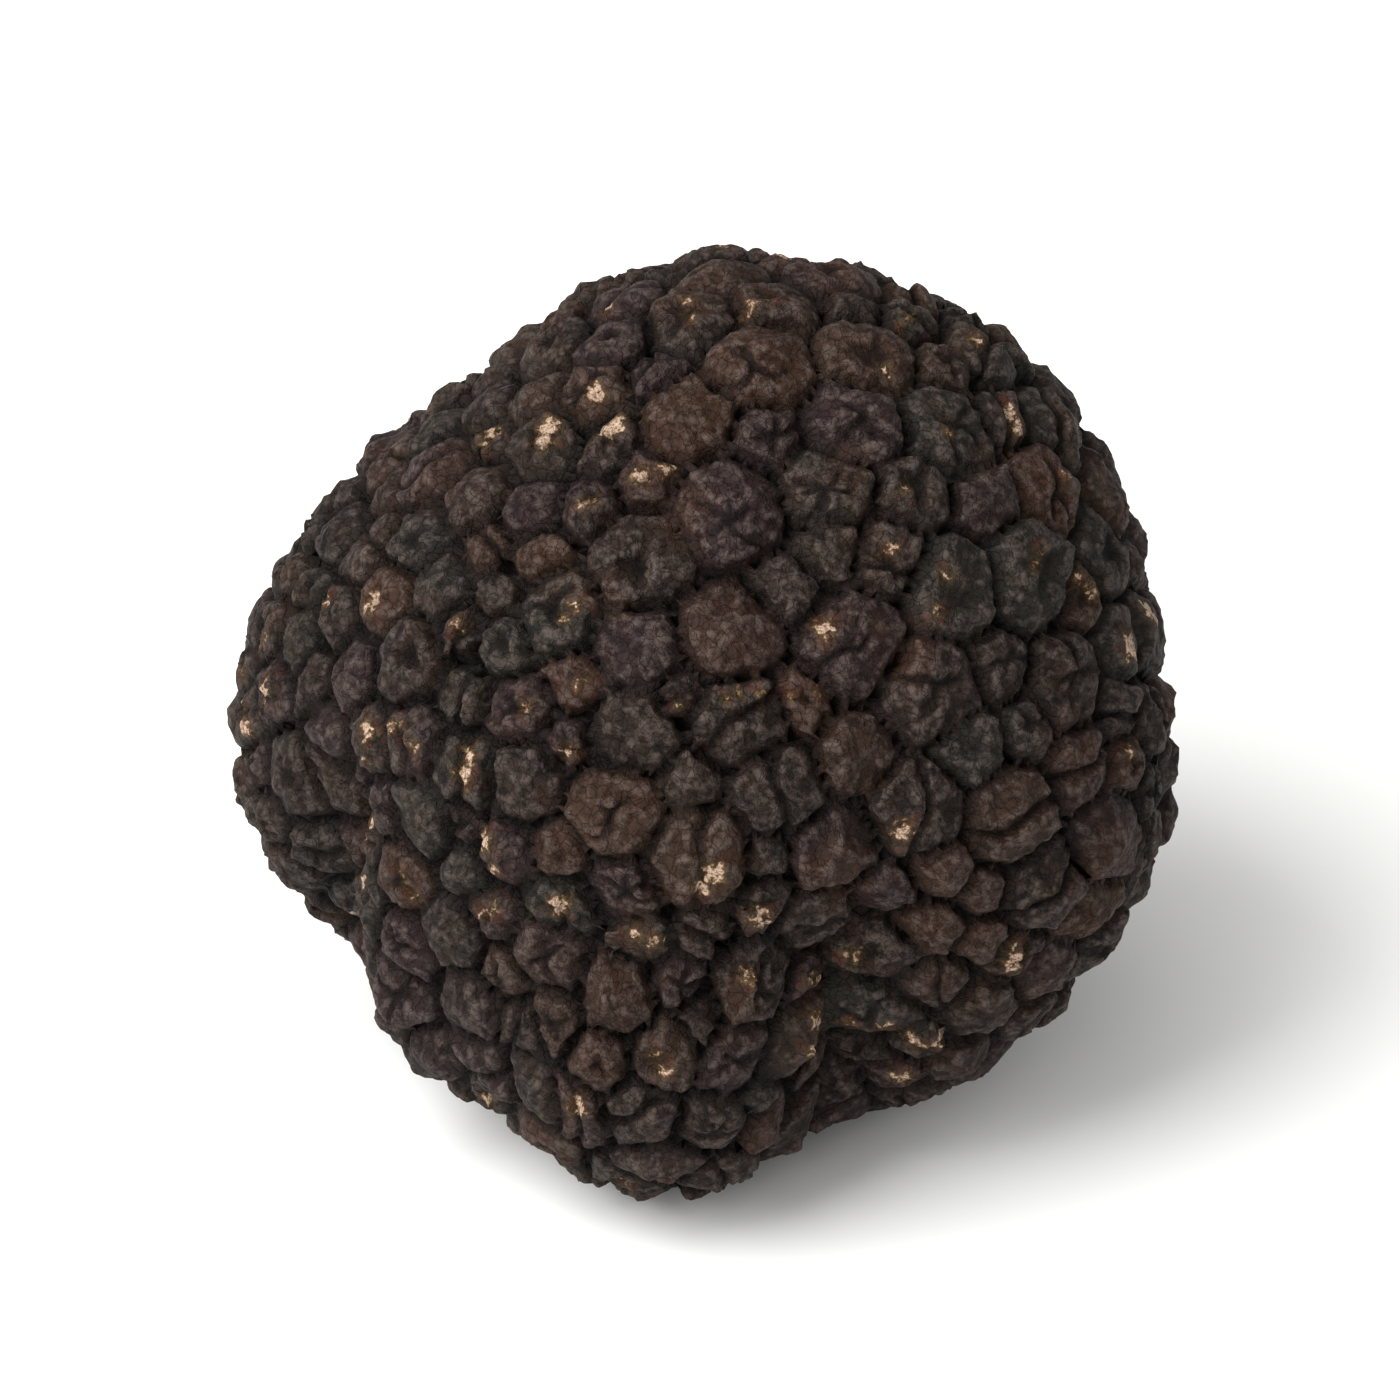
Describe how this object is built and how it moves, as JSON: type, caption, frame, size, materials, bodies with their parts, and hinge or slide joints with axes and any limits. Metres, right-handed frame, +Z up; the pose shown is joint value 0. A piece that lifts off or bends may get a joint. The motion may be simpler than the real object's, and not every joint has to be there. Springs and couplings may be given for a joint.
{
  "type": "black truffle",
  "caption": "Whole fresh black truffle: a lobed, nearly round fruiting body whose black rind is split into low polygonal warts by a net of furrows, lying on a small flat spot.",
  "frame": {"origin": "middle of the truffle's length and width, at the level of the small flat spot that it lies on", "axes": "+Z up from the flat spot to the crown, +X along the longest extent towards the shoulder with the coarsest warts, -Y towards the side where the small foot lobe sticks out at the bottom"},
  "size_m": [0.045, 0.042, 0.0405],
  "materials": {
    "rind": "matte, rough and warty, near-black brown with worn golden-brown wart tips"
  },
  "bodies": {
    "root": {"truffle": "rind"}
  },
  "joints": []
}
